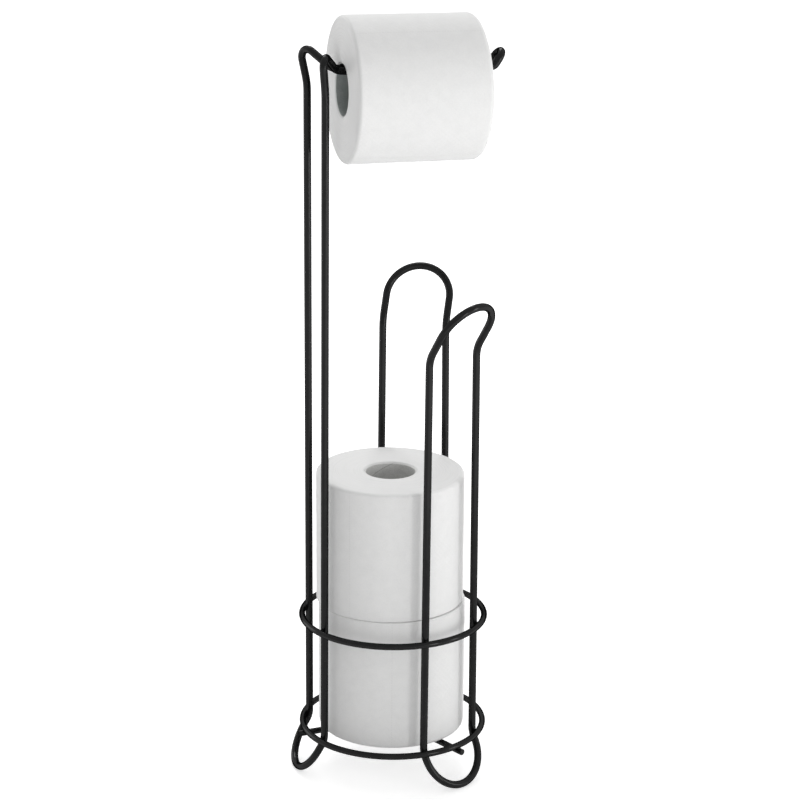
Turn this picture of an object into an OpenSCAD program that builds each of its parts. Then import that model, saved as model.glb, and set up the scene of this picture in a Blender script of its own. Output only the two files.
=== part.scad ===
// Free-standing toilet roll stand bent from round wire, with one roll on its arm and two in its well.
// Millimetres, +Z up. The origin is on the floor under the middle of the stand's box.
// The arm runs along +X, from the stem at -X. The stand is alike on both sides of the plane Y = 0.

/* [Wire] */
// Diameter of the wire of the stem and of the two leg loops
frame_wire_d = 6; // [5:0.5:7]
// Diameter of the wire of the rings and of the three base wires
ring_wire_d = 5; // [4:0.5:6]
// Depth that welded wires sink into each other
weld_depth = 0.4; // [0.2:0.1:0.5]

/* [Rings] */
// Radius of both rings, to the middle of the wire
ring_r = 78; // [76:0.5:82]
// Height of the lower ring's middle above the floor
lower_ring_z = 35.5; // [35:0.5:40]
// Distance between the two rings
ring_spacing = 98.5; // [80:0.5:110]

/* [Leg loops] */
// Distance between the two uprights of a leg loop at the lower ring
leg_gap_low = 60; // [56:0.5:62]
// Distance between the two uprights of a leg loop below its arch
leg_gap_high = 55.5; // [54:0.5:62]
// Angle between the plane of symmetry and each leg loop
leg_angle = 60; // [55:1:65]
// Height at which the leg loops lean outwards
arch_bend_z = 375.5; // [300:0.5:390]
// Lean of the arches from the vertical
arch_lean = 31.5; // [15:0.5:40]
// Straight run between the lean and the round top
arch_run = 22.5; // [12:0.5:30]
// Radius of the bend where an arch leans out
arch_bend_r = 25; // [12:1:35]

/* [Feet] */
// Height at which the wires flare out to a foot
foot_bend_z = 35; // [33:0.5:36]
// Flare of the feet from the vertical
foot_flare = 30; // [20:1:36]
// Radius of the bend where a foot flares out
foot_bend_r = 20; // [14:1:22]

/* [Stem] */
// Distance between the stem's two uprights at the lower ring
stem_gap_low = 55; // [54:1:60]
// Distance between the stem's two uprights below the crooks
stem_gap_high = 62.5; // [56:0.5:66]
// Lean of the uprights towards the arm, over their whole height
stem_lean = 1.5; // [0:0.5:3]
// Height at which the uprights lean out to the crooks
crook_start_z = 585; // [576:1:588]
// Height of the crooks' tops, to the middle of the wire
crook_top_z = 612; // [608:0.5:620]
// Distance that a crook leans out past its upright
crook_back = 9; // [6:0.5:10]
// Distance between a crook's two upper corners, along the way that it turns
crook_width = 13; // [12.5:0.5:16]
// Angle in plan at which the crooks turn towards each other
crook_turn = 64; // [55:1:70]

/* [Arm] */
// Height of the two arm wires
arm_z = 599; // [592:0.5:602]
// Distance between the two arm wires
arm_gap = 15; // [13:0.5:18]
// Place along X of the corners where the wires from the crooks swing into the arm
arm_start_x = -51; // [-53:0.5:-50.5]
// Place along X where the arm turns up
arm_turn_x = 79.5; // [76:0.5:84]
// Rise of the arm's end from the horizontal
arm_rise = 56; // [40:1:65]
// Straight run of the arm's end before its round tip
arm_tip_run = 6.5; // [4:0.5:12]

/* [Base wires] */
// Length of a base wire from the middle of the base to its cut end
base_wire_reach = 83.5; // [82:0.5:86]
// Height that a base wire climbs from the ring to the middle
base_wire_rise = 4.5; // [0:0.5:6]

/* [Rolls] */
// Length of the rolls in the well
spare_roll_len = 112; // [98:0.5:112]
// Diameter of the full rolls in the well
spare_roll_d = 126; // [100:1:128]
// Length of the roll on the arm
hanging_roll_len = 108.5; // [98:0.5:112]
// Diameter of the roll on the arm, which is a little used
hanging_roll_d = 119; // [80:0.5:122]
// Inner diameter of the cardboard tubes
core_bore_d = 42; // [40:0.5:45]
// Wall of the cardboard tubes
core_wall = 1; // [0.6:0.1:1.5]
// Rounding of the paper's rims
rim_r = 4; // [1:0.5:6]
// Free gap between rolls, and between a roll and the wires that carry it
roll_gap = 0.3; // [0.2:0.1:0.6]
// Place along X of the hanging roll's end that faces the stem
hanging_roll_x = -44.5; // [-45:0.5:-40]
// Shift of the lower spare roll from the rings' axis towards the stem
lower_spare_shift = 1; // [0:0.5:4]
// Shift of the upper spare roll from the rings' axis towards the stem
upper_spare_shift = 3; // [0:0.5:4]

/* [Hidden] */

// Sides of a bent wire, degrees turned between its stations, and sides of round bars and rolls
wire_sides = 16;
step_angle = 7.5;
bar_sides = 32;
ring_sides = 96;
// Two stations closer than this are one
same_place = 0.01;

wire_black = [0.08, 0.08, 0.085];
paper_white = [0.95, 0.95, 0.94];
card_grey = [0.62, 0.58, 0.53];

frame_wire_r = frame_wire_d / 2;
ring_wire_r = ring_wire_d / 2;
upper_ring_z = lower_ring_z + ring_spacing;
// Uprights stand inside the rings, at this distance from the rings' axis
upright_r = ring_r - frame_wire_r - ring_wire_r + weld_depth;
leg_face_r = sqrt(pow(upright_r, 2) - pow(leg_gap_low / 2, 2));
stem_face_r = sqrt(pow(upright_r, 2) - pow(stem_gap_low / 2, 2));

// The farthest reach of the stand along -X and +X sets the origin at the middle of its box
foot_reach = (foot_bend_z - frame_wire_r) * tan(foot_flare);
reach_back = stem_face_r + foot_reach + frame_wire_r;
arm_tip_len = arm_tip_run + arm_gap / 2;
reach_front = arm_turn_x + arm_tip_len * cos(arm_rise) + frame_wire_r;
axis_x = (reach_back - reach_front) / 2;

// Bends of the crooks and of the arm
lean_r = 40;
crook_r = 6.5;
arm_swing_r = 9;
arm_turn_r = 6;

core_r = core_bore_d / 2 + core_wall;
// The arm wires bear on the tube's bore from inside, a little above its axis
bearing_r = core_bore_d / 2 - frame_wire_r - roll_gap;
hanging_z = arm_z - sqrt(pow(bearing_r, 2) - pow(arm_gap / 2, 2));
base_mid_z = lower_ring_z - ring_wire_d + weld_depth + base_wire_rise;
base_slope = atan(base_wire_rise / ring_r);
// The lowest roll stands on the base wires where its tube's inner edge meets them
lower_spare_z = base_mid_z + ring_wire_r - core_bore_d / 2 * tan(base_slope) + roll_gap;
upper_spare_z = lower_spare_z + spare_roll_len + roll_gap;

function unit(v) = v / norm(v);
function from_to(a, b) = unit(b - a);
function bend_angle(a, b, c) = acos(max(-1, min(1, from_to(a, b) * from_to(b, c))));
function set_back(a, b, c, r) = r * tan(bend_angle(a, b, c) / 2);

// Places and directions along the bent corner at b of a wire that comes from a and goes on to c
function bend_stations(a, b, c, bend_r) =
    let (into = from_to(a, b), out = from_to(b, c),
        inward = unit(out - into * (out * into)),
        middle = b - into * set_back(a, b, c, bend_r) + inward * bend_r,
        angle = bend_angle(a, b, c),
        steps = max(2, ceil(angle / step_angle)))
    [for (k = [0 : steps]) let (t = angle * k / steps)
        [middle + (into * sin(t) - inward * cos(t)) * bend_r, into * cos(t) + inward * sin(t)]];

// Stations along a closed wire through corners, each given as [point, bend radius]
function wire_stations(corners) =
    let (count = len(corners),
        all = [for (i = [0 : count - 1])
            each bend_stations(corners[(i + count - 1) % count][0], corners[i][0],
                corners[(i + 1) % count][0], corners[i][1])])
    [for (i = [0 : len(all) - 1])
        if (norm(all[i][0] - all[(i + 1) % len(all)][0]) > same_place) all[i]];

// A direction across t, as near as can be to v
function square_to(v, t) = unit(v - t * (v * t));

// Directions across the wire, carried from one station to the next without twist
function carried(stations, first) = [
    for (i = 0, n = first; i <= len(stations);
        i = i + 1, n = square_to(n, stations[i % len(stations)][1])) n];

// A closed wire of radius r. What twist is left where it closes is spread along its length
module closed_wire(corners, r) {
    stations = wire_stations(corners);
    count = len(stations);
    t0 = stations[0][1];
    first = square_to(abs(t0.z) < 0.9 ? [0, 0, 1] : [1, 0, 0], t0);
    across = carried(stations, first);
    last = across[count];
    twist = atan2(cross(first, last) * t0, first * last);
    points = [for (i = [0 : count - 1]) for (k = [0 : wire_sides - 1])
        let (n = across[i], b = cross(stations[i][1], n),
            turn = 360 * k / wire_sides - twist * i / count)
        stations[i][0] + (n * cos(turn) + b * sin(turn)) * r];
    faces = [for (i = [0 : count - 1]) for (k = [0 : wire_sides - 1])
        let (here = i * wire_sides, next = (i + 1) % count * wire_sides, k2 = (k + 1) % wire_sides)
        each [[here + k, next + k2, here + k2], [here + k, next + k, next + k2]]];
    polyhedron(points, faces);
}

// Corners of one side of a loop are listed from the floor up, and its other side is their mirror image
function mirrored(corners) = [for (i = [len(corners) - 1 : -1 : 0])
    [[corners[i][0].x, -corners[i][0].y, corners[i][0].z], corners[i][1]]];
function both_sides(corners) = concat(corners, mirrored(corners));

// A foot's corner and bend, for uprights that stand half_gap from the middle plane at face_r
function foot_corners(face_r, half_gap) = [
    [[face_r + foot_reach, half_gap, frame_wire_r], half_gap],
    [[face_r, half_gap, foot_bend_z], foot_bend_r]];

// A point of a crook, at a distance from its upright along the way that the crook turns
function crook_point(along, z) = [
    stem_lean - stem_face_r + along * cos(crook_turn), stem_gap_high / 2 - along * sin(crook_turn), z];

function turned_about_z(corners) = [for (c = corners) [[-c[0].x, c[0].y, c[0].z], c[1]]];

module stem_wire() {
    tip = [arm_turn_x + arm_tip_len * cos(arm_rise), arm_gap / 2, arm_z + arm_tip_len * sin(arm_rise)];
    side = concat(
        turned_about_z(foot_corners(stem_face_r, stem_gap_low / 2)),
        [[crook_point(0, crook_start_z), lean_r],
         [crook_point(-crook_back, crook_top_z), crook_r],
         [crook_point(crook_width - crook_back, crook_top_z), crook_r],
         [[arm_start_x, arm_gap / 2, arm_z], arm_swing_r],
         [[arm_turn_x, arm_gap / 2, arm_z], arm_turn_r],
         [tip, arm_gap / 2]]);
    color(wire_black) translate([axis_x, 0, 0]) closed_wire(both_sides(side), frame_wire_r);
}

module leg_loop(turn) {
    half_gap = leg_gap_high / 2;
    arch_len = arch_run + half_gap;
    side = concat(
        foot_corners(leg_face_r, leg_gap_low / 2),
        [[[leg_face_r, half_gap, arch_bend_z], arch_bend_r],
         [[leg_face_r + arch_len * sin(arch_lean), half_gap, arch_bend_z + arch_len * cos(arch_lean)],
             half_gap]]);
    color(wire_black) translate([axis_x, 0, 0]) rotate(turn) closed_wire(both_sides(side), frame_wire_r);
}

module front_leg_loop() { leg_loop(-leg_angle); }
module back_leg_loop() { leg_loop(leg_angle); }

module ring(z) {
    color(wire_black) translate([axis_x, 0, z])
        rotate_extrude($fn = ring_sides) translate([ring_r, 0]) circle(ring_wire_r, $fn = bar_sides);
}

module lower_ring() { ring(lower_ring_z); }
module upper_ring() { ring(upper_ring_z); }

// A straight wire under the lower ring, which climbs a little towards the middle
module base_wire(turn) {
    color(wire_black) translate([axis_x, 0, base_mid_z]) rotate(turn) rotate([0, 90 + base_slope, 0])
        translate([0, 0, ring_wire_r / 2])
            cylinder(h = base_wire_reach - ring_wire_r / 2, r = ring_wire_r, $fn = bar_sides);
}

module stem_base_wire() { base_wire(180); }
module front_base_wire() { base_wire(-leg_angle); }
module back_base_wire() { base_wire(leg_angle); }

// Wound paper standing on Z = 0, with rounded outer rims
module roll_paper(d, len) {
    r = d / 2;
    color(paper_white) rotate_extrude($fn = ring_sides) {
        translate([core_r, 0]) square([r - rim_r - core_r, len]);
        translate([core_r, rim_r]) square([r - core_r, len - 2 * rim_r]);
        for (z = [rim_r, len - rim_r]) translate([r - rim_r, z]) circle(rim_r, $fn = bar_sides);
    }
}

module roll_core(len) {
    color(card_grey) rotate_extrude($fn = ring_sides)
        translate([core_bore_d / 2, 0]) square([core_wall, len]);
}

module hung() { translate([axis_x + hanging_roll_x, 0, hanging_z]) rotate([0, 90, 0]) children(); }
module stored(shift, z) { translate([axis_x - shift, 0, z]) children(); }

module hanging_roll_paper() { hung() roll_paper(hanging_roll_d, hanging_roll_len); }
module hanging_roll_core() { hung() roll_core(hanging_roll_len); }
module upper_spare_paper() { stored(upper_spare_shift, upper_spare_z) roll_paper(spare_roll_d, spare_roll_len); }
module upper_spare_core() { stored(upper_spare_shift, upper_spare_z) roll_core(spare_roll_len); }
module lower_spare_paper() { stored(lower_spare_shift, lower_spare_z) roll_paper(spare_roll_d, spare_roll_len); }
module lower_spare_core() { stored(lower_spare_shift, lower_spare_z) roll_core(spare_roll_len); }

stem_wire();
front_leg_loop();
back_leg_loop();
lower_ring();
upper_ring();
stem_base_wire();
front_base_wire();
back_base_wire();
hanging_roll_paper();
hanging_roll_core();
upper_spare_paper();
upper_spare_core();
lower_spare_paper();
lower_spare_core();
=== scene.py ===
import math
import bmesh
import bpy
from mathutils import Euler, Matrix, Vector, noise


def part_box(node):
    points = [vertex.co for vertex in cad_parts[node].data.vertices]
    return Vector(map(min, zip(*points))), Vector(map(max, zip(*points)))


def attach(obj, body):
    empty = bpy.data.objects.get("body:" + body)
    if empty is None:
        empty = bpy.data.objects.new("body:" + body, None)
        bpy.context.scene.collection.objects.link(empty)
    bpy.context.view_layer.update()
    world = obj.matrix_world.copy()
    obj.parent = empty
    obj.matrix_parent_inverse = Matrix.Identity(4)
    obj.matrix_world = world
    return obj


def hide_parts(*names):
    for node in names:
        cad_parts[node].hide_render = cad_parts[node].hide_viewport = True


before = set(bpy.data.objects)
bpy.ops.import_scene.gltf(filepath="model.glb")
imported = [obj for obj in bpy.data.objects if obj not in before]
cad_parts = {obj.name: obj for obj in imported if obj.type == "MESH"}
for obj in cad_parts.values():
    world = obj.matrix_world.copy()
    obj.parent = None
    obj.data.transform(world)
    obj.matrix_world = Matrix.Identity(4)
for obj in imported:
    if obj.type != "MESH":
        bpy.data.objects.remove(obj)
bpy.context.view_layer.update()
print("frame loaded with", len(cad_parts), "nodes")

# Sizes of pieces are in millimetres, and finishPiece brings each mesh to metres
mm = 0.001


def addObject(name, data):
    item = bpy.data.objects.new(name, data)
    bpy.context.scene.collection.objects.link(item)
    return item


# Camera, as the photograph was taken

cameraSettings = {
    "azimuth": -15.65,  # degrees, where 0 looks along +Y
    "pitch": 15.84,  # degrees downwards
    "roll": 0.4,  # degrees
    "place": (-460.9, -1660.3, 812.2),
    "focalPixels": 2147,  # focal length, in pixels of the photograph's frame
    "framePixels": 800,
    "sensor": 36,
}


def addCamera(s):
    data = bpy.data.cameras.new("photoCamera")
    data.sensor_width = s["sensor"]
    data.lens = s["focalPixels"] / s["framePixels"] * s["sensor"]
    camera = addObject("photoCamera", data)
    aim = Euler((math.radians(90 - s["pitch"]), 0, math.radians(s["azimuth"]))).to_matrix()
    roll = Matrix.Rotation(math.radians(s["roll"]), 3, "Z")
    camera.matrix_world = Matrix.Translation(Vector(s["place"]) * mm) @ (aim @ roll).to_4x4()
    bpy.context.scene.camera = camera


addCamera(cameraSettings)


# Mesh helpers

def onlyVerts(geometry):
    return [g for g in geometry if isinstance(g, bmesh.types.BMVert)]


def onlyEdges(geometry):
    return [g for g in geometry if isinstance(g, bmesh.types.BMEdge)]


def spinRound(bm, geometry, centre, axis, angle, steps, merge=False):
    made = bmesh.ops.spin(
        bm, geom=geometry, cent=centre, axis=axis, dvec=(0, 0, 0), angle=angle, steps=steps,
        use_merge=merge, use_duplicate=False,
    )
    return made["geom_last"]


def roundEdges(bm, edges, width, segments):
    bmesh.ops.bevel(
        bm, geom=edges, offset=width, offset_type="OFFSET", affect="EDGES", segments=segments, profile=0.5,
        material=-1,
    )


def closeShell(bm, touching):
    bmesh.ops.remove_doubles(bm, verts=bm.verts, dist=touching)
    bmesh.ops.recalc_face_normals(bm, faces=bm.faces)


def finishPiece(bm, name, body, nodes, materials):
    bmesh.ops.scale(bm, vec=(mm, mm, mm), verts=bm.verts)
    for face in bm.faces:
        face.smooth = True
    mesh = bpy.data.meshes.new(name)
    bm.to_mesh(mesh)
    bm.free()
    for material in materials:
        mesh.materials.append(material)
    piece = addObject(name, mesh)
    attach(piece, body)
    if nodes:
        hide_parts(*nodes)
    print(name, len(mesh.polygons), "faces")


# Material helpers

def newMaterial(name):
    material = bpy.data.materials.new(name)
    material.use_nodes = True
    return material, material.node_tree, material.node_tree.nodes["Principled BSDF"]


def feed(tree, node, inputs):
    # A socket is linked, and anything else becomes the input's own value
    for key, value in inputs.items():
        if isinstance(value, bpy.types.NodeSocket):
            tree.links.new(value, node.inputs[key])
        else:
            node.inputs[key].default_value = value


def addNode(tree, kind, inputs=None, **settings):
    node = tree.nodes.new(kind)
    for key, value in settings.items():
        setattr(node, key, value)
    feed(tree, node, inputs or {})
    return node


def addMath(tree, operation, a, b):
    return addNode(tree, "ShaderNodeMath", {0: a, 1: b}, operation=operation).outputs[0]


def addRange(tree, value, span, result, **settings):
    limits = {"From Min": span[0], "From Max": span[1], "To Min": result[0], "To Max": result[1]}
    return addNode(tree, "ShaderNodeMapRange", {"Value": value, **limits}, **settings).outputs["Result"]


def addRamp(tree, factor, span, colours):
    ramp = addNode(tree, "ShaderNodeValToRGB", {"Fac": factor})
    for stop, position, colour in zip(ramp.color_ramp.elements, span, colours):
        stop.position = position
        stop.color = (*colour, 1)
    return ramp.outputs["Color"]


def addBump(tree, height, strength, depth):
    inputs = {"Height": height, "Strength": strength, "Distance": depth}
    return addNode(tree, "ShaderNodeBump", inputs).outputs["Normal"]


def addUv(tree):
    return addNode(tree, "ShaderNodeUVMap", uv_map="UVMap").outputs["UV"]


grainSettings = {
    "fineDetail": 3.0,
    "coarseDetail": 2.0,
}


def makeGrainGroup(s):
    # Two sizes of soft unevenness, for the coat, paper and board
    tree = bpy.data.node_groups.new("softGrain", "ShaderNodeTree")
    tree.interface.new_socket("Vector", in_out="INPUT", socket_type="NodeSocketVector")
    for name in ("Fine", "Coarse", "Coarse Share"):
        tree.interface.new_socket(name, in_out="INPUT", socket_type="NodeSocketFloat")
    for name in ("Value", "Patches"):
        tree.interface.new_socket(name, in_out="OUTPUT", socket_type="NodeSocketFloat")
    entry = tree.nodes.new("NodeGroupInput").outputs
    leave = tree.nodes.new("NodeGroupOutput")

    def addNoise(scale, detail):
        inputs = {"Vector": entry["Vector"], "Scale": scale, "Detail": detail}
        return addNode(tree, "ShaderNodeTexNoise", inputs).outputs["Fac"]

    fine = addNoise(entry["Fine"], s["fineDetail"])
    coarse = addNoise(entry["Coarse"], s["coarseDetail"])
    fineShare = addMath(tree, "SUBTRACT", 1.0, entry["Coarse Share"])
    mixed = addMath(
        tree, "ADD",
        addMath(tree, "MULTIPLY", fine, fineShare),
        addMath(tree, "MULTIPLY", coarse, entry["Coarse Share"]),
    )
    feed(tree, leave, {"Value": mixed, "Patches": coarse})
    return tree


grainGroup = makeGrainGroup(grainSettings)


def addGrain(tree, fine, coarse, coarseShare):
    # The scales are counted per metre
    place = addNode(tree, "ShaderNodeTexCoord").outputs["Object"]
    inputs = {"Vector": place, "Fine": fine, "Coarse": coarse, "Coarse Share": coarseShare}
    return addNode(tree, "ShaderNodeGroup", inputs, node_tree=grainGroup).outputs


# Satin black coat on every wire

coatSettings = {
    "dark": (0.003, 0.0031, 0.0033),
    "light": (0.007, 0.0071, 0.0073),
    "lightSpan": (0.35, 0.7),
    "roughness": (0.12, 0.21),
    "roughSpan": (0.3, 0.7),
    "specular": 0.17,
    "facingBlend": 0.5,
    "edgeOn": (0.3, 0.65),  # where the gloss starts to fade, and where it is gone
    "peelFine": 450.0,
    "peelCoarse": 90.0,
    "peelShare": 0.45,
    "peelStrength": 0.6,
    "peelDepth": 0.000025,  # metres, as the depth of every bump
}


def makeCoat(s):
    material, tree, shader = newMaterial("blackCoat")
    grain = addGrain(tree, s["peelFine"], s["peelCoarse"], s["peelShare"])
    # The gloss fades out where the wire turns away from the view, which hides the mirror-like edge that a
    # smooth wire would show: a painted darkening along the edges, standing in for the shade that the coat's
    # fine peel casts on itself
    facing = addNode(tree, "ShaderNodeLayerWeight", {"Blend": s["facingBlend"]}).outputs["Facing"]
    gloss = addRange(tree, facing, s["edgeOn"], (s["specular"], 0.0))
    shader.inputs["Specular IOR Level"].default_value = s["specular"]
    feed(tree, shader, {
        "Base Color": addRamp(tree, grain["Patches"], s["lightSpan"], (s["dark"], s["light"])),
        "Roughness": addRange(tree, grain["Value"], s["roughSpan"], s["roughness"]),
        "Specular IOR Level": gloss,
        "Normal": addBump(tree, grain["Value"], s["peelStrength"], s["peelDepth"]),
    })
    return material


# Tissue paper: the wound side, with its soft embossing, and the ends, with their layers

# Pitches, lengths and widths are in the UV map's millimetres, and the fluff's scales per metre
tissueSettings = {
    "shade": (0.82, 0.82, 0.815),
    "light": (0.88, 0.88, 0.875),
    "sideSpan": (0.25, 0.6),
    # The ends' stops put lighter colour on the layers' ridges and darker between them, painted shade in the
    # grooves
    "endSpan": (0.25, 0.55),
    "roughness": 0.92,
    "sheen": 0.15,
    "fluffFine": 1400.0,
    "fluffCoarse": 130.0,
    "sideShare": 0.4,  # of the coarse fluff
    "endShare": 0.5,
    "sideFluff": 0.9,
    "endFluff": 0.5,
    "dotPitch": 3.4,
    "dotSlant": math.radians(45),
    "dotScatter": 0.12,
    "dotSpan": (0.12, 0.5),
    "patchSpan": (0.3, 0.7),
    "patchHeight": (0.35, 1.0),
    "dotStrength": 0.8,
    "dotDepth": 0.00009,
    "sheetLength": 118.0,
    "holePitch": 2.2,
    "holeHalfLength": 0.62,
    "holeHalfWidth": 0.35,
    "holeSink": 1.2,
    # holeShade darkens the colour in the cuts, painted shade inside them
    "holeShade": 0.3,
    "layerPitch": 0.9,
    "layerStretch": 0.012,  # how little the layers change round the roll
    "layerDetail": 4.0,
    "layerRoughness": 0.7,
    "layerStrength": 0.7,
    "layerDepth": 0.0003,
}


def makeTissueSide(s):
    material, tree, shader = newMaterial("tissueSide")
    uv = addUv(tree)
    grain = addGrain(tree, s["fluffFine"], s["fluffCoarse"], s["sideShare"])
    # Rows of small round dots, laid at a slant, pressed in between soft raised cushions
    slanted = addNode(
        tree, "ShaderNodeMapping",
        {"Vector": uv, "Rotation": (0, 0, s["dotSlant"]), "Scale": (1 / s["dotPitch"],) * 3},
    )
    dots = addNode(
        tree, "ShaderNodeTexVoronoi",
        {"Vector": slanted.outputs["Vector"], "Scale": 1.0, "Randomness": s["dotScatter"]},
        voronoi_dimensions="2D", feature="SMOOTH_F1",
    )
    pressed = addRange(
        tree, dots.outputs["Distance"], s["dotSpan"], (0.0, 1.0), interpolation_type="SMOOTHSTEP",
    )
    patchy = addRange(tree, grain["Patches"], s["patchSpan"], s["patchHeight"])
    relief = addMath(tree, "MULTIPLY", pressed, patchy)
    # A line of small cuts where each sheet tears off
    along = addNode(tree, "ShaderNodeSeparateXYZ", {"Vector": uv}).outputs
    fromLine = addMath(tree, "PINGPONG", along["X"], s["sheetLength"] / 2)
    fromHole = addMath(tree, "PINGPONG", along["Y"], s["holePitch"] / 2)
    cuts = addMath(
        tree, "MULTIPLY",
        addMath(tree, "LESS_THAN", fromLine, s["holeHalfWidth"]),
        addMath(tree, "LESS_THAN", fromHole, s["holeHalfLength"]),
    )
    raised = addMath(tree, "ADD", relief, addMath(tree, "MULTIPLY", grain["Value"], s["sideFluff"]))
    height = addMath(tree, "SUBTRACT", raised, addMath(tree, "MULTIPLY", cuts, s["holeSink"]))
    # The cuts are also darker in colour: painted shade inside the cuts
    tone = addMath(tree, "SUBTRACT", grain["Value"], addMath(tree, "MULTIPLY", cuts, s["holeShade"]))
    feed(tree, shader, {
        "Base Color": addRamp(tree, tone, s["sideSpan"], (s["shade"], s["light"])),
        "Roughness": s["roughness"],
        "Sheen Weight": s["sheen"],
        "Normal": addBump(tree, height, s["dotStrength"], s["dotDepth"]),
    })
    return material


def makeTissueEnd(s):
    material, tree, shader = newMaterial("tissueEnd")
    grain = addGrain(tree, s["fluffFine"], s["fluffCoarse"], s["endShare"])
    # V runs outwards from the tube here, and each turn of the sheet is one soft ridge
    drawnOut = addNode(
        tree, "ShaderNodeMapping",
        {"Vector": addUv(tree), "Scale": (s["layerStretch"], 1 / s["layerPitch"], 1)},
    )
    layers = addNode(
        tree, "ShaderNodeTexNoise",
        {"Vector": drawnOut.outputs["Vector"], "Scale": 1.0, "Detail": s["layerDetail"],
         "Roughness": s["layerRoughness"]},
        noise_dimensions="2D",
    ).outputs["Fac"]
    height = addMath(tree, "ADD", layers, addMath(tree, "MULTIPLY", grain["Value"], s["endFluff"]))
    feed(tree, shader, {
        # The colour follows the same ridges as the bump, lighter on them and darker between them: painted
        # shade in the grooves between the layers
        "Base Color": addRamp(tree, layers, s["endSpan"], (s["shade"], s["light"])),
        "Roughness": s["roughness"],
        "Sheen Weight": s["sheen"],
        "Normal": addBump(tree, height, s["layerStrength"], s["layerDepth"]),
    })
    return material


# Grey board of the tubes, with the slanting seam of its strips

boardSettings = {
    # The wall comes in lit and shaded copies of one grey board: the darker copy is painted shade for the
    # hanging roll's tube, whose inside lies in deeper shade, and the lighter spare copy is painted light for
    # the standing rolls' tubes, which catch more top light
    "used": ((0.29, 0.315, 0.31), (0.41, 0.44, 0.43)),
    "spare": ((0.52, 0.52, 0.51), (0.68, 0.68, 0.665)),
    # A still lighter copy goes on the tubes' cut rims: painted highlight where the rims catch the top light
    "edge": ((0.68, 0.68, 0.665), (0.82, 0.82, 0.805)),
    "fibreSpan": (0.3, 0.65),
    "seam": (0.23, 0.235, 0.23),
    "roughness": 0.85,
    "wallMiddle": 21.5,  # radius that the wall's UV map is laid out for
    "seamPitch": 62.0,
    "seamWidth": 0.35,
    "fibreFine": 1100.0,
    "fibreCoarse": 160.0,
    "fibreShare": 0.35,
    "fibreStrength": 0.7,
    "fibreDepth": 0.00015,
}


def makeBoard(s, kind):
    material, tree, shader = newMaterial(kind + "Board")
    fibres = addGrain(tree, s["fibreFine"], s["fibreCoarse"], s["fibreShare"])["Value"]
    base = addRamp(tree, fibres, s["fibreSpan"], s[kind])
    axes = addNode(tree, "ShaderNodeSeparateXYZ", {"Vector": addUv(tree)}).outputs
    # One turn round the tube carries the seam along by one pitch
    climb = addMath(tree, "MULTIPLY", axes["X"], s["seamPitch"] / (math.tau * s["wallMiddle"]))
    slant = addMath(tree, "PINGPONG", addMath(tree, "ADD", climb, axes["Y"]), s["seamPitch"] / 2)
    seam = addRange(tree, slant, (0.0, s["seamWidth"]), (1.0, 0.0))
    colour = addNode(
        tree, "ShaderNodeMix", {"Factor": seam, "A": base, "B": (*s["seam"], 1)}, data_type="RGBA",
    )
    height = addMath(tree, "SUBTRACT", fibres, seam)
    feed(tree, shader, {
        "Base Color": colour.outputs["Result"],
        "Roughness": s["roughness"],
        "Normal": addBump(tree, height, s["fibreStrength"], s["fibreDepth"]),
    })
    return material


blackCoat = makeCoat(coatSettings)
tissueSide = makeTissueSide(tissueSettings)
tissueEnd = makeTissueEnd(tissueSettings)
# Lit and shaded copies of one board, painted shade and painted light, and a lighter copy painted as the
# rims' highlight
boards = {kind: makeBoard(boardSettings, kind) for kind in ("used", "spare", "edge")}
print("materials made")


# Bent wires

wireSettings = {
    "frameRadius": 3,
    "ringRadius": 2.5,
    "coat": 0.15,  # thickness of the coat, over the bare wire's radius
    "weldDepth": 0.4,  # how far one welded wire sinks into another
    "sides": 28,
    "bendStep": math.radians(3.5),
    "fewestSteps": 3,
    "ringSteps": 180,
    "touching": 0.02,  # points closer than this become one
}

stemSettings = {
    "gapLow": 55,  # between the uprights' middles, at the foot
    "gapHigh": 62.5,  # and where the crooks start
    "lean": 1.5,  # how far the uprights come in towards the rings' axis on their way up
    "crookStart": 585,  # height
    "crookTop": 612,  # height
    "crookBack": 9,  # how far a crook goes outwards before it comes over
    "crookWidth": 13,
    "crookTurn": math.radians(64),  # between the way a crook runs and the arm
    "leanRadius": 40,
    "crookRadius": 6.5,
    "armHeight": 599,
    "armGap": 15,
    "armStart": -51,  # place along X, from the rings' axis
    "armSwingRadius": 9,
    "armTurnUp": 79.5,  # place along X, from the rings' axis
    "armRise": math.radians(56),
    "armTurnRadius": 6,
    "armTipRun": 6.5,  # straight part before the round end
}

legSettings = {
    "gapLow": 60,
    "gapHigh": 55.5,
    "angle": math.radians(60),  # round the rings' axis, from the side away from the stem
    "archBend": 375.5,  # height at which a loop leans outwards
    "archLean": math.radians(31.5),  # from upright
    "archRun": 22.5,  # straight part before the round top
    "archBendRadius": 25,
}

footSettings = {
    "bend": 35,  # height at which the uprights turn outwards
    "flare": math.radians(30),  # from upright
    "bendRadius": 20,
}

baseWireSettings = {
    "reach": 83.5,  # from the rings' axis to the cut end
    "rise": 4.5,  # how much higher the wires lie in the middle
    "endBevel": 0.35,
    "bevelSegments": 3,
}


def nodeCentre(node):
    low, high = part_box(node)
    return (Vector(low) + Vector(high)) / 2 / mm


def nodeSize(node):
    low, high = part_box(node)
    return (Vector(high) - Vector(low)) / mm


ringAxis = nodeCentre("upper_ring")
ringMiddleRadius = nodeSize("upper_ring").x / 2 - wireSettings["ringRadius"]
ringHeights = {"lower": nodeCentre("lower_ring").z, "upper": ringAxis.z}
uprightRadius = (
    ringMiddleRadius - wireSettings["frameRadius"] - wireSettings["ringRadius"] + wireSettings["weldDepth"]
)
sideAngles = {"stem": math.pi, "front": -legSettings["angle"], "back": legSettings["angle"]}


def aroundRings(height, angle):
    return Matrix.Translation((ringAxis.x, 0, height)) @ Matrix.Rotation(angle, 4, "Z")


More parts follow.
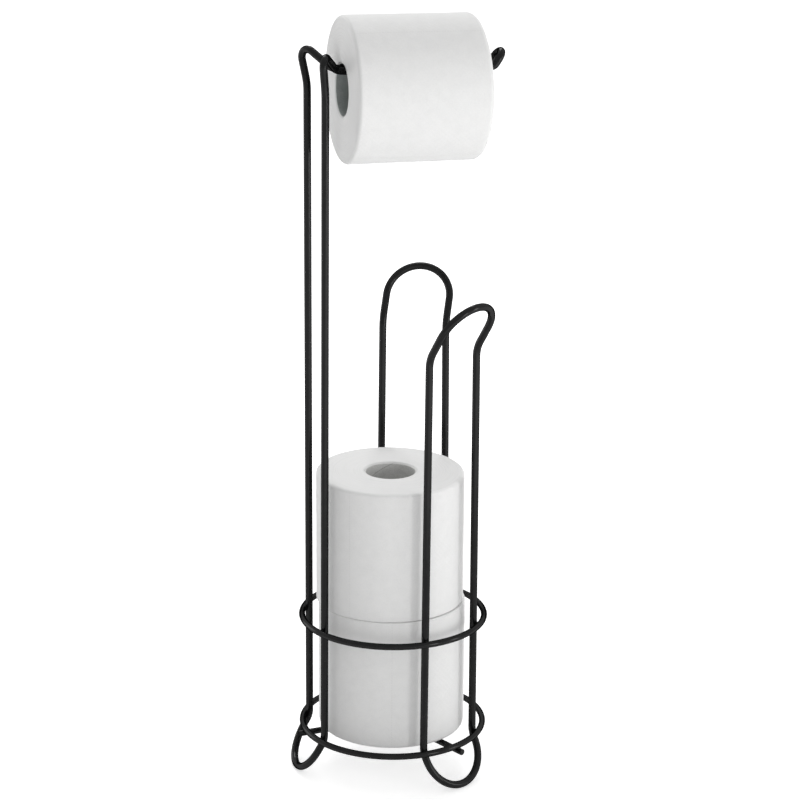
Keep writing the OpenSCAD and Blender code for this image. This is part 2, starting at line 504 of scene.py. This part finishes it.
def faceDistance(gap):
    # From the rings' axis to the plane of two uprights that stand this far apart
    return math.sqrt(uprightRadius ** 2 - (gap / 2) ** 2)


def finishWire(bm, name, *nodes):
    finishPiece(bm, name, "stand", nodes, [blackCoat])


def drawSection(bm, wireRadius, place, s):
    bmesh.ops.create_circle(bm, segments=s["sides"], radius=wireRadius + s["coat"], matrix=place)
    return list(bm.edges)


def pullSection(bm, section, run):
    made = bmesh.ops.extrude_edge_only(bm, edges=section)["geom"]
    bmesh.ops.translate(bm, verts=onlyVerts(made), vec=run)
    reached = set(onlyVerts(made))
    return [edge for edge in onlyEdges(made) if set(edge.verts) <= reached]


def bendWire(corners, s):
    # The wire starts as one ring of edges, pulled along each straight run and spun round each bend
    bm = bmesh.new()
    start = (corners[0][0] + corners[-1][0]) / 2
    heading = (corners[0][0] - start).normalized()
    turned = heading.to_track_quat("Z", "Y").to_matrix().to_4x4()
    section = drawSection(bm, s["frameRadius"], Matrix.Translation(start) @ turned, s)
    here = start
    for i, (corner, bendRadius) in enumerate(corners):
        into = (corner - corners[i - 1][0]).normalized()
        out = (corners[(i + 1) % len(corners)][0] - corner).normalized()
        angle = into.angle(out)
        bendStart = corner - into * bendRadius * math.tan(angle / 2)
        if (bendStart - here).length > s["touching"]:
            section = pullSection(bm, section, bendStart - here)
        inward = (out - into * out.dot(into)).normalized()
        centre = bendStart + inward * bendRadius
        axis = into.cross(out).normalized()
        steps = max(s["fewestSteps"], math.ceil(angle / s["bendStep"]))
        section = onlyEdges(spinRound(bm, section, centre, axis, angle, steps))
        here = corner + out * bendRadius * math.tan(angle / 2)
    closeShell(bm, s["touching"])
    return bm


def footCorners(face, gap, s):
    # Each corner is where two straight runs would cross, with the radius of the bend between them
    reach = (s["bend"] - wireSettings["frameRadius"]) * math.tan(s["flare"])
    half = gap / 2
    return [
        (Vector((face + reach, half, wireSettings["frameRadius"])), half),
        (Vector((face, half, s["bend"])), s["bendRadius"]),
    ]


def bothSides(corners):
    mirrored = [(Vector((p.x, -p.y, p.z)), radius) for p, radius in reversed(corners)]
    return corners + mirrored


def stemCorners(s):
    face = faceDistance(s["gapLow"])
    half = s["gapHigh"] / 2
    armHalf = s["armGap"] / 2

    def crookPoint(along, height):
        across = s["lean"] - face + along * math.cos(s["crookTurn"])
        return Vector((across, half - along * math.sin(s["crookTurn"]), height))

    tipLength = s["armTipRun"] + armHalf
    tip = Vector((
        s["armTurnUp"] + tipLength * math.cos(s["armRise"]),
        armHalf,
        s["armHeight"] + tipLength * math.sin(s["armRise"]),
    ))
    foot = [(Vector((-p.x, p.y, p.z)), radius) for p, radius in footCorners(face, s["gapLow"], footSettings)]
    return foot + [
        (crookPoint(0, s["crookStart"]), s["leanRadius"]),
        (crookPoint(-s["crookBack"], s["crookTop"]), s["crookRadius"]),
        (crookPoint(s["crookWidth"] - s["crookBack"], s["crookTop"]), s["crookRadius"]),
        (Vector((s["armStart"], armHalf, s["armHeight"])), s["armSwingRadius"]),
        (Vector((s["armTurnUp"], armHalf, s["armHeight"])), s["armTurnRadius"]),
        (tip, armHalf),
    ]


def legCorners(s):
    face = faceDistance(s["gapLow"])
    half = s["gapHigh"] / 2
    archLength = s["archRun"] + half
    top = Vector((
        face + archLength * math.sin(s["archLean"]),
        half,
        s["archBend"] + archLength * math.cos(s["archLean"]),
    ))
    return footCorners(face, s["gapLow"], footSettings) + [
        (Vector((face, half, s["archBend"])), s["archBendRadius"]),
        (top, half),
    ]


def makeStem():
    bm = bendWire(bothSides(stemCorners(stemSettings)), wireSettings)
    bmesh.ops.transform(bm, matrix=aroundRings(0, 0), verts=bm.verts)
    finishWire(bm, "stemWire", "stem_wire")


def makeLeg(side):
    bm = bendWire(bothSides(legCorners(legSettings)), wireSettings)
    bmesh.ops.transform(bm, matrix=aroundRings(0, sideAngles[side]), verts=bm.verts)
    finishWire(bm, side + "LegLoop", side + "_leg_loop")


def makeRing(level, s):
    bm = bmesh.new()
    upright = Matrix.Translation((ringMiddleRadius, 0, 0)) @ Matrix.Rotation(math.pi / 2, 4, "X")
    section = drawSection(bm, s["ringRadius"], upright, s)
    spinRound(bm, section, (0, 0, 0), (0, 0, 1), math.tau, s["ringSteps"], merge=True)
    closeShell(bm, s["touching"])
    bmesh.ops.translate(bm, verts=bm.verts, vec=(ringAxis.x, 0, ringHeights[level]))
    finishWire(bm, level + "Ring", level + "_ring")


def baseWirePlace(angle, s):
    # The inner end, with the wire running outwards and a little down along its own Z
    middle = ringHeights["lower"] - wireSettings["ringRadius"] * 2 + wireSettings["weldDepth"] + s["rise"]
    slope = math.atan(s["rise"] / ringMiddleRadius)
    return aroundRings(middle, angle) @ Matrix.Rotation(math.pi / 2 + slope, 4, "Y")


def makeBaseWire(side, s):
    bm = bmesh.new()
    inner = wireSettings["ringRadius"] / 2
    length = s["reach"] - inner
    coated = wireSettings["ringRadius"] + wireSettings["coat"]
    bmesh.ops.create_cone(
        bm, cap_ends=True, segments=wireSettings["sides"], radius1=coated, radius2=coated, depth=length,
        matrix=Matrix.Translation((0, 0, inner + length / 2)),
    )
    rims = [
        edge for edge in bm.edges
        if abs(edge.verts[0].co.z - edge.verts[1].co.z) < wireSettings["touching"]
    ]
    roundEdges(bm, rims, s["endBevel"], s["bevelSegments"])
    bmesh.ops.transform(bm, matrix=baseWirePlace(sideAngles[side], s), verts=bm.verts)
    finishWire(bm, side + "BaseWire", side + "_base_wire")


# Welds, small beads in the corners where two wires cross

weldSettings = {
    "across": 2.4,
    "upDown": 2.6,
    "through": 1.1,
    "hub": (3.6, 3.6, 2.2),  # where the base wires meet
    "sides": 20,
    "rows": 12,
}


def addBead(bm, place, sizes, s):
    bmesh.ops.create_uvsphere(
        bm, u_segments=s["sides"], v_segments=s["rows"], radius=1,
        matrix=place @ Matrix.Diagonal((*sizes, 1)),
    )


def halfTurn(height, top, s):
    # Angle between a loop's middle and each of its uprights, whose gap changes evenly up to the top
    climbed = (height - footSettings["bend"]) / (top - footSettings["bend"])
    half = (s["gapLow"] + (s["gapHigh"] - s["gapLow"]) * climbed) / 2
    return math.atan2(half, faceDistance(s["gapLow"]))


def makeWelds(s):
    bm = bmesh.new()
    contact = ringMiddleRadius - wireSettings["ringRadius"] + wireSettings["weldDepth"] / 2
    for height in ringHeights.values():
        stemTurn = halfTurn(height, stemSettings["crookStart"], stemSettings)
        legTurn = halfTurn(height, legSettings["archBend"], legSettings)
        for side, turn in {"stem": stemTurn, "front": legTurn, "back": legTurn}.items():
            for angle in (sideAngles[side] - turn, sideAngles[side] + turn):
                place = aroundRings(height, angle) @ Matrix.Translation((contact, 0, 0))
                addBead(bm, place, (s["through"], s["across"], s["upDown"]), s)
    under = ringHeights["lower"] - wireSettings["ringRadius"] + wireSettings["weldDepth"] / 2
    for angle in sideAngles.values():
        place = aroundRings(under, angle) @ Matrix.Translation((ringMiddleRadius, 0, 0))
        addBead(bm, place, (s["across"], s["across"], s["through"]), s)
    middle = baseWirePlace(0, baseWireSettings).translation
    addBead(bm, Matrix.Translation(middle), s["hub"], s)
    finishWire(bm, "welds")


makeStem()
for side in ("front", "back"):
    makeLeg(side)
for level in ringHeights:
    makeRing(level, wireSettings)
for side in sideAngles:
    makeBaseWire(side, baseWireSettings)
makeWelds(weldSettings)
print("stand made")


# Rolls

turningSettings = {
    "touching": 0.005,
    "endFacing": 0.75,  # a face that looks along the axis more than this belongs to an end
}

paperSettings = {
    "outerSlack": 0.05,  # how much smaller than its place in the frame the roll is
    "profileStep": 2.2,
    "cornerSteps": 8,
    "turnSteps": 220,
    "tailTurn": math.radians(0.35),
    "tailStep": 0.35,  # height of the loose edge
    "seedSpread": (1, 1.7, 0.6),
    "largeShare": 0.6,  # of the unevenness, where the rest is finer
    "sideRelief": 0.35,
    "sideScale": 0.035,
    "sideFiner": 3,
    "sideFade": 6,  # how fast the side's unevenness dies out towards the tube
    "endRelief": 0.25,
    "endScale": 0.22,
    "endFiner": 4,
    "endTurns": (0.3, 0.8),  # how much the large and the fine layers change round the roll
    "dish": 0.3,  # how far the ends sink towards the tube
}

# The rims are the roundings of the near and the far end, and swell is how far each end bulges.
# The far end leans by farLean, and the near end droops outwards from the tube by droop.
# The board picks the tube's wall colour: the darker copy, painted shade, for the hanging roll, and the
# lighter copy, painted light, for the spare rolls
rollSettings = {
    "hanging": {
        "nodes": "hanging_roll", "body": "hanging_roll", "lies": True, "board": "used",
        "seed": 3.1, "tail": math.radians(-12), "rims": (3, 4.5), "swell": (0.8, 0.8),
        "farLean": (0.016, 0), "droop": 0,
    },
    "upper": {
        "nodes": "upper_spare", "body": "upper_spare_roll", "lies": False, "board": "spare",
        "seed": 11.3, "tail": math.radians(115), "rims": (1.5, 3), "swell": (0, 1.2),
        "farLean": (0, 0.029), "droop": 0,
    },
    "lower": {
        "nodes": "lower_spare", "body": "lower_spare_roll", "lies": False, "board": "spare",
        "seed": 27.9, "tail": math.radians(40), "rims": (4, 1.5), "swell": (0, 0),
        "farLean": (0, 0), "droop": 0.055,
    },
}

coreSettings = {
    "wall": 1.0,
    "bevel": 0.3,
    "bevelSegments": 3,
    "rimAngle": math.radians(60),
    "turnSteps": 128,
    "profileStep": 6.0,
}


def pullVert(bm, vert, place):
    made = bmesh.ops.extrude_vert_indiv(bm, verts=[vert])
    moved = made["verts"][0]
    moved.co = place
    return moved, made["edges"]


def spinProfile(bm, turnSteps, tailTurn):
    # The last narrow step leaves a crisp edge where the outermost sheet ends
    profile = list(bm.verts) + list(bm.edges)
    last = spinRound(bm, profile, (0, 0, 0), (0, 0, 1), math.tau - tailTurn, turnSteps)
    spinRound(bm, last, (0, 0, 0), (0, 0, 1), tailTurn, 1)
    closeShell(bm, turningSettings["touching"])


def mapRound(bm, radius):
    # U runs round the roll and V along it, or outwards on the ends, all in millimetres
    layer = bm.loops.layers.uv.new("UVMap")
    bm.normal_update()
    for face in bm.faces:
        isEnd = abs(face.normal.z) > turningSettings["endFacing"]
        face.material_index = int(isEnd)
        middle = face.calc_center_median()
        middleTurn = math.atan2(middle.y, middle.x) % math.tau
        for loop in face.loops:
            place = loop.vert.co
            turn = math.atan2(place.y, place.x) % math.tau
            turn += math.tau * round((middleTurn - turn) / math.tau)
            along = math.hypot(place.x, place.y) if isEnd else place.z
            loop[layer].uv = (turn * radius, along)


def drawPaper(bm, inner, radius, length, rims, s):
    # Outline of one cut through the wound paper, with its two outer corners rounded
    nearRim, farRim = rims

    def turnCorner(vert, centre):
        spun = spinRound(bm, [vert], centre, (0, -1, 0), math.pi / 2, s["cornerSteps"])
        return onlyVerts(spun)[0]

    first = bm.verts.new((inner, 0, 0))
    vert, nearEdges = pullVert(bm, first, (radius - nearRim, 0, 0))
    vert = turnCorner(vert, (radius - nearRim, 0, nearRim))
    vert, sideEdges = pullVert(bm, vert, (radius, 0, length - farRim))
    vert = turnCorner(vert, (radius - farRim, 0, length - farRim))
    vert, farEdges = pullVert(bm, vert, (inner, 0, length))
    bm.edges.new((vert, first))
    for edge in nearEdges + sideEdges + farEdges:
        bmesh.ops.subdivide_edges(bm, edges=[edge], cuts=int(edge.calc_length() / s["profileStep"]))


def unevenness(large, small, s):
    # From 0 to 1, out of two sizes of noise
    shares = (s["largeShare"], 1 - s["largeShare"])
    return sum(share * (noise.noise(place) * 0.5 + 0.5) for share, place in zip(shares, (large, small)))


def loosenPaper(bm, inner, radius, length, roll, s):
    nearRim, farRim = roll["rims"]
    bumps = Vector([roll["seed"] * spread for spread in s["seedSpread"]])
    largeTurn, smallTurn = s["endTurns"]
    for vert in bm.verts:
        flat = Vector((vert.co.x, vert.co.y, 0))
        out = flat.length
        share = max(0.0, min(1.0, (out - inner) / (radius - inner)))
        turn = math.atan2(flat.y, flat.x) % math.tau
        place = vert.co * s["sideScale"]
        soft = unevenness(place + bumps, place * s["sideFiner"] + bumps, s)
        sink = s["sideRelief"] * soft + s["tailStep"] * turn / math.tau
        vert.co -= flat / out * sink * share ** s["sideFade"]
        # The ends sink a little towards the tube, and their layers stand unevenly
        layer = out * s["endScale"]
        large = Vector((layer, turn * largeTurn, 0)) + bumps
        small = Vector((layer * s["endFiner"], turn * smallTurn, 0)) + bumps
        sinkEnd = s["endRelief"] * unevenness(large, small, s) + s["dish"] * (1 - share)
        if vert.co.z < nearRim:
            vert.co.z += sinkEnd
        elif vert.co.z > length - farRim:
            vert.co.z -= sinkEnd


def settleEnds(bm, inner, length, roll):
    # Each end's bulge, lean or droop fades out towards the other end
    nearSwell, farSwell = roll["swell"]
    for vert in bm.verts:
        farShare = vert.co.z / length
        lean = roll["farLean"][0] * vert.co.x + roll["farLean"][1] * vert.co.y
        droop = roll["droop"] * (math.hypot(vert.co.x, vert.co.y) - inner)
        vert.co.z += (lean + farSwell) * farShare - (droop + nearSwell) * (1 - farShare)


def makePaper(name, node, toPlace, roll, s):
    size = nodeSize(node)
    length = size[toPlace["along"]]
    radius = size[toPlace["across"]] / 2 - s["outerSlack"]
    inner = toPlace["tubeRadius"]
    bm = bmesh.new()
    drawPaper(bm, inner, radius, length, roll["rims"], s)
    spinProfile(bm, s["turnSteps"], s["tailTurn"])
    mapRound(bm, radius)
    loosenPaper(bm, inner, radius, length, roll, s)
    bmesh.ops.rotate(bm, cent=(0, 0, 0), matrix=Matrix.Rotation(roll["tail"], 3, "Z"), verts=bm.verts)
    settleEnds(bm, inner, length, roll)
    bmesh.ops.transform(bm, matrix=toPlace["matrix"], verts=bm.verts)
    bmesh.ops.recalc_face_normals(bm, faces=bm.faces)
    finishPiece(bm, name, roll["body"], [node], [tissueSide, tissueEnd])


def makeCore(name, node, toPlace, roll, s):
    length = nodeSize(node)[toPlace["along"]]
    outer = toPlace["tubeRadius"]
    inner = outer - s["wall"]
    bm = bmesh.new()
    first = bm.verts.new((inner, 0, 0))
    vert = pullVert(bm, first, (outer, 0, 0))[0]
    vert, wallEdges = pullVert(bm, vert, (outer, 0, length))
    vert = pullVert(bm, vert, (inner, 0, length))[0]
    wallEdges.append(bm.edges.new((vert, first)))
    for edge in wallEdges:
        bmesh.ops.subdivide_edges(bm, edges=[edge], cuts=int(length / s["profileStep"]))
    spinProfile(bm, s["turnSteps"], math.tau / (s["turnSteps"] + 1))
    rims = [edge for edge in bm.edges if edge.calc_face_angle(0) > s["rimAngle"]]
    roundEdges(bm, rims, s["bevel"], s["bevelSegments"])
    mapRound(bm, outer - s["wall"] / 2)
    bmesh.ops.transform(bm, matrix=toPlace["matrix"], verts=bm.verts)
    bmesh.ops.recalc_face_normals(bm, faces=bm.faces)
    # The wall takes the board copy its roll names, painted shade on the hanging roll and painted light on
    # the spare ones, and the rims take the lighter copy painted as a highlight
    finishPiece(bm, name, roll["body"], [node], [boards[roll["board"]], boards["edge"]])


def lyingPlace(node):
    # Where a roll lies along X, with its near end at the lower X
    centre = nodeCentre(node)
    nearEnd = centre.x - nodeSize(node).x / 2
    matrix = Matrix.Translation((nearEnd, centre.y, centre.z)) @ Matrix.Rotation(math.pi / 2, 4, "Y")
    return {"matrix": matrix, "along": 0, "across": 1, "tubeRadius": nodeSize(node).y / 2}


def standingPlace(node):
    # Where a roll stands on its near end
    centre = nodeCentre(node)
    matrix = Matrix.Translation((centre.x, centre.y, centre.z - nodeSize(node).z / 2))
    return {"matrix": matrix, "along": 2, "across": 0, "tubeRadius": nodeSize(node).x / 2}


for label, roll in rollSettings.items():
    coreNode = roll["nodes"] + "_core"
    toPlace = lyingPlace(coreNode) if roll["lies"] else standingPlace(coreNode)
    makePaper(label + "Paper", roll["nodes"] + "_paper", toPlace, roll, paperSettings)
    makeCore(label + "Core", coreNode, toPlace, roll, coreSettings)
print("rolls made")


# Floor and light, with places and sizes in metres

studioSettings = {
    "floorHalf": 14.0,
    "floorColour": (0.86, 0.86, 0.86, 1),
    "floorRoughness": 0.9,
    "floorSpecular": 0.1,
    "floorGlow": (0.56, 0.85),
    "glowReach": (0.35, 1.6),
    "white": (1, 1, 1, 1),
    "ambient": 0.55,
    "shown": 1.0,
    "lamps": {
        "front": {"place": (1.3, -1.95, 0.45), "aim": (0, 0, 0.35), "size": (0.4, 0.9), "power": 9.8},
        "right": {"place": (2.1, -1.15, 0.5), "aim": (0, 0, 0.35), "size": (0.4, 1.1), "power": 8.4},
        "low": {"place": (0.7, -1.4, 0.02), "aim": (0.7, -1.4, 1), "size": (2.2, 1.5), "power": 9.6},
        "top": {"place": (0.15, 1.4, 2.15), "aim": (0, 0, 0.4), "size": (1.1, 1.1), "power": 22.5},
        "left": {"place": (-1.6, 1.6, 0.5), "aim": (0, 0, 0.4), "size": (1.2, 1.2), "power": 10},
    },
}


def addSeenRays(tree):
    # These rays see the pale studio, and the others get the plain light
    path = addNode(tree, "ShaderNodeLightPath").outputs
    seen = addMath(tree, "MAXIMUM", path["Is Camera Ray"], path["Is Glossy Ray"])
    return addMath(tree, "MAXIMUM", seen, path["Is Transmission Ray"])


def makeFloor(s):
    bm = bmesh.new()
    bmesh.ops.create_grid(bm, x_segments=1, y_segments=1, size=s["floorHalf"])
    mesh = bpy.data.meshes.new("floor")
    bm.to_mesh(mesh)
    bm.free()
    floor = addObject("floor", mesh)
    material, tree, shader = newMaterial("paleFloor")
    place = addNode(tree, "ShaderNodeTexCoord").outputs["Object"]
    away = addNode(tree, "ShaderNodeVectorMath", {0: place}, operation="LENGTH").outputs["Value"]
    glow = addRange(tree, away, s["glowReach"], s["floorGlow"])
    feed(tree, shader, {
        "Base Color": s["floorColour"],
        "Roughness": s["floorRoughness"],
        "Specular IOR Level": s["floorSpecular"],
        "Emission Color": s["white"],
        "Emission Strength": addMath(tree, "MULTIPLY", glow, addSeenRays(tree)),
    })
    mesh.materials.append(material)


def makeWorld(s):
    world = bpy.data.worlds.new("studio")
    world.use_nodes = True
    tree = world.node_tree
    tree.nodes.clear()
    ambient = addNode(tree, "ShaderNodeBackground", {"Color": s["white"], "Strength": s["ambient"]})
    shown = addNode(tree, "ShaderNodeBackground", {"Color": s["white"], "Strength": s["shown"]})
    mix = addNode(
        tree, "ShaderNodeMixShader",
        {"Fac": addSeenRays(tree), 1: ambient.outputs["Background"], 2: shown.outputs["Background"]},
    )
    addNode(tree, "ShaderNodeOutputWorld", {"Surface": mix.outputs["Shader"]})
    bpy.context.scene.world = world


def addLamp(name, s):
    data = bpy.data.lights.new(name, "AREA")
    data.shape = "RECTANGLE"
    data.size, data.size_y = s["size"]
    data.energy = s["power"]
    lamp = addObject(name, data)
    aim = Vector(s["aim"]) - Vector(s["place"])
    lamp.matrix_world = Matrix.Translation(s["place"]) @ aim.to_track_quat("-Z", "Y").to_matrix().to_4x4()


makeFloor(studioSettings)
makeWorld(studioSettings)
for lampName, lampSettings in studioSettings["lamps"].items():
    addLamp(lampName + "Lamp", lampSettings)
bpy.context.scene.view_settings.view_transform = "Standard"
print("studio made")
